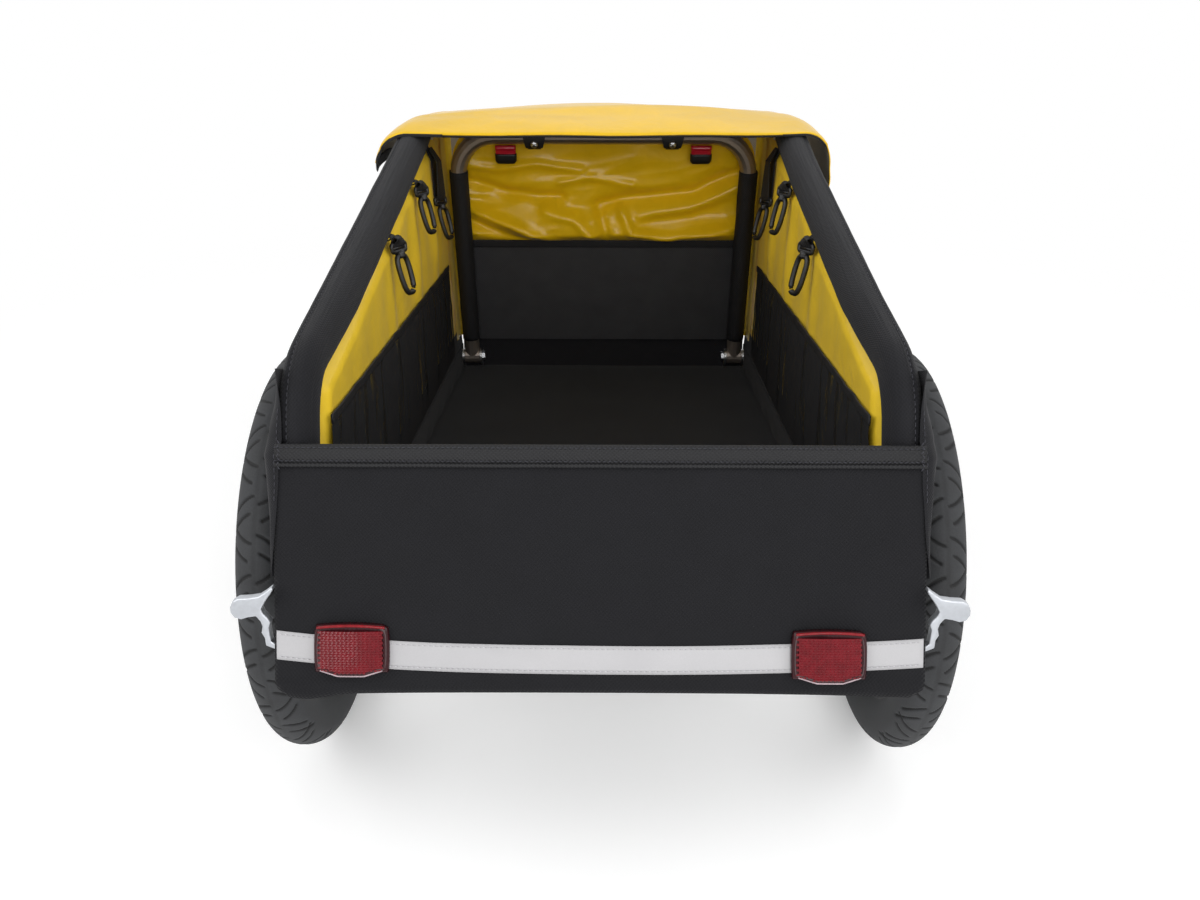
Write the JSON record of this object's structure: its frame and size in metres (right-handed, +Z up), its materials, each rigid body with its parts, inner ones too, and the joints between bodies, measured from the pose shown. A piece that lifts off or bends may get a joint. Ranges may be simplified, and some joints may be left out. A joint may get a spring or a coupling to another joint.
{
  "type": "bicycle cargo trailer",
  "caption": "Folding bicycle cargo trailer: fabric body on a tube frame, two spoked wheels, a side tow bar and a flipped-forward cover.",
  "frame": {"origin": "centre of the bounding box, on the ground that both tyres and the hitch stand on", "axes": "+Y forward along the tow direction, +X to the right, +Z up"},
  "size_m": [0.646, 1.4146, 0.5441],
  "materials": {
    "frame_aluminium": "anodised, satin",
    "hoop_aluminium": "grey, slightly worn",
    "zinc_steel": "bright zinc",
    "tyre_rubber": "dark grey with curved grooves",
    "black_fabric": "woven polyester, matt",
    "black_mesh": "open knitted mesh",
    "yellow_coated_fabric": "coated, soft sheen",
    "reflective_tape": "light grey glass-bead tape",
    "red_reflector": "dark red with honeycomb prisms",
    "red_plastic": "glossy red",
    "black_plastic": "moulded",
    "elastomer": "dense, smooth"
  },
  "bodies": {
    "frame": {"axle_cross_tube": "frame_aluminium", "axle_receiver_left": "frame_aluminium", "axle_receiver_right": "frame_aluminium", "floor_side_tube_left": "frame_aluminium", "floor_side_tube_right": "frame_aluminium", "floor_tray": "black_fabric", "front_cross_tube": "frame_aluminium", "hoop_pivot_bolt_left": "zinc_steel", "hoop_pivot_bolt_right": "zinc_steel", "rear_cross_tube": "frame_aluminium", "rear_panel": "black_fabric", "rear_top_binding": "black_fabric", "reflective_strip": "reflective_tape", "reflector_left": "red_reflector", "reflector_right": "red_reflector", "side_hinge_bolt_front_left": "zinc_steel", "side_hinge_bolt_front_right": "zinc_steel", "side_hinge_bolt_rear_left": "zinc_steel", "side_hinge_bolt_rear_right": "zinc_steel", "tow_bar_bracket": "frame_aluminium", "tow_bar_pivot_bolt": "zinc_steel", "wheel_axle_left": "zinc_steel", "wheel_axle_right": "zinc_steel", "wheel_guard_left": "frame_aluminium", "wheel_guard_right": "frame_aluminium"},
    "left_side": {"mesh_pocket_left": "black_mesh", "rail_sleeve_left": "black_fabric", "side_frame_left": "frame_aluminium", "side_panel_left": "yellow_coated_fabric"},
    "right_side": {"mesh_pocket_right": "black_mesh", "rail_sleeve_right": "black_fabric", "side_frame_right": "frame_aluminium", "side_panel_right": "yellow_coated_fabric"},
    "hoop": {"cover": "yellow_coated_fabric", "front_hoop": "hoop_aluminium", "front_panel": "yellow_coated_fabric", "hoop_clamp_left": "black_plastic", "hoop_clamp_right": "black_plastic"},
    "towing_arm": {"hitch_flex": "elastomer", "safety_strap": "black_fabric", "tow_bar": "frame_aluminium"},
    "hitch": {"hitch_coupler": "zinc_steel", "hitch_pin": "zinc_steel"},
    "left_wheel": {"hub_left": "frame_aluminium", "rim_left": "frame_aluminium", "tyre_left": "tyre_rubber"},
    "right_wheel": {"hub_right": "frame_aluminium", "rim_right": "frame_aluminium", "tyre_right": "tyre_rubber"},
    "left_axle_button": {"axle_button_left": "zinc_steel"},
    "left_hook_front": {"snap_hook_front_left": "black_plastic"},
    "left_hook_middle": {"snap_hook_middle_left": "black_plastic"},
    "left_hook_rear": {"snap_hook_rear_left": "black_plastic"},
    "left_release_tab": {"release_tab_left": "red_plastic"},
    "right_axle_button": {"axle_button_right": "zinc_steel"},
    "right_hook_front": {"snap_hook_front_right": "black_plastic"},
    "right_hook_middle": {"snap_hook_middle_right": "black_plastic"},
    "right_hook_rear": {"snap_hook_rear_right": "black_plastic"},
    "right_release_tab": {"release_tab_right": "red_plastic"}
  },
  "joints": [
    {"name": "left_wheel_spin", "type": "hinge", "parent": "frame", "child": "left_wheel", "pos_m": [-0.286, -0.43003, 0.20067], "axis": [1, 0, 0], "continuous": true},
    {"name": "left_axle_release", "type": "slide", "parent": "frame", "child": "left_axle_button", "axis": [1, 0, 0], "range_m": [0, 0.003], "stiffness_N_per_m": 800, "springref_m": -0.0015},
    {"name": "left_side_fold", "type": "hinge", "parent": "frame", "child": "left_side", "pos_m": [-0.232, -0.41774, 0.27973], "axis": [0, 0.9881, -0.1536], "range_deg": [0, 87], "deforming": ["mesh_pocket_left", "rear_panel", "rear_top_binding"]},
    {"name": "left_hook_rear_swing", "type": "hinge", "parent": "left_side", "child": "left_hook_rear", "pos_m": [-0.2128, -0.28351, 0.45965], "axis": [0, -0.9881, 0.1536], "range_deg": [0, 20]},
    {"name": "left_hook_middle_swing", "type": "hinge", "parent": "left_side", "child": "left_hook_middle", "pos_m": [-0.2128, -0.12939, 0.4746], "axis": [0, -0.9881, 0.1536], "range_deg": [0, 20]},
    {"name": "left_hook_front_swing", "type": "hinge", "parent": "left_side", "child": "left_hook_front", "pos_m": [-0.2128, -0.00889, 0.44249], "axis": [0, -0.9881, 0.1536], "range_deg": [0, 20]},
    {"name": "right_wheel_spin", "type": "hinge", "parent": "frame", "child": "right_wheel", "pos_m": [0.286, -0.43003, 0.20067], "axis": [1, 0, 0], "continuous": true},
    {"name": "right_axle_release", "type": "slide", "parent": "frame", "child": "right_axle_button", "axis": [-1, 0, 0], "range_m": [0, 0.003], "stiffness_N_per_m": 800, "springref_m": -0.0015},
    {"name": "right_side_fold", "type": "hinge", "parent": "frame", "child": "right_side", "pos_m": [0.232, -0.41774, 0.27973], "axis": [0, -0.9881, 0.1536], "range_deg": [0, 66], "deforming": ["mesh_pocket_right", "rear_panel", "rear_top_binding"]},
    {"name": "right_hook_rear_swing", "type": "hinge", "parent": "right_side", "child": "right_hook_rear", "pos_m": [0.2128, -0.28351, 0.45965], "axis": [0, 0.9881, -0.1536], "range_deg": [0, 20]},
    {"name": "right_hook_middle_swing", "type": "hinge", "parent": "right_side", "child": "right_hook_middle", "pos_m": [0.2128, -0.12939, 0.4746], "axis": [0, 0.9881, -0.1536], "range_deg": [0, 20]},
    {"name": "right_hook_front_swing", "type": "hinge", "parent": "right_side", "child": "right_hook_front", "pos_m": [0.2128, -0.00889, 0.44249], "axis": [0, 0.9881, -0.1536], "range_deg": [0, 20]},
    {"name": "hoop_fold", "type": "hinge", "parent": "frame", "child": "hoop", "pos_m": [0, 0.11526, 0.16044], "axis": [1, 0, 0], "range_deg": [0, 76.5], "deforming": ["front_panel", "cover"]},
    {"name": "left_tab_flip", "type": "hinge", "parent": "hoop", "child": "left_release_tab", "pos_m": [-0.131, 0.09356, 0.47363], "axis": [-1, 0, 0], "range_deg": [0, 30], "stiffness_Nm_per_rad": 0.1, "springref_deg": -5.73},
    {"name": "right_tab_flip", "type": "hinge", "parent": "hoop", "child": "right_release_tab", "pos_m": [0.131, 0.09356, 0.47363], "axis": [-1, 0, 0], "range_deg": [0, 30], "stiffness_Nm_per_rad": 0.1, "springref_deg": -5.73},
    {"name": "tow_bar_fold", "type": "hinge", "parent": "frame", "child": "towing_arm", "pos_m": [-0.17, 0.06176, 0.10925], "axis": [0, -0.1536, -0.9881], "range_deg": [0, 105]},
    {"name": "hitch_swing", "type": "hinge", "parent": "towing_arm", "child": "hitch", "pos_m": [-0.075, 0.63616, 0.01996], "axis": [0, 0.1536, 0.9881], "range_deg": [-40, 40], "deforming": ["hitch_flex"]}
  ]
}
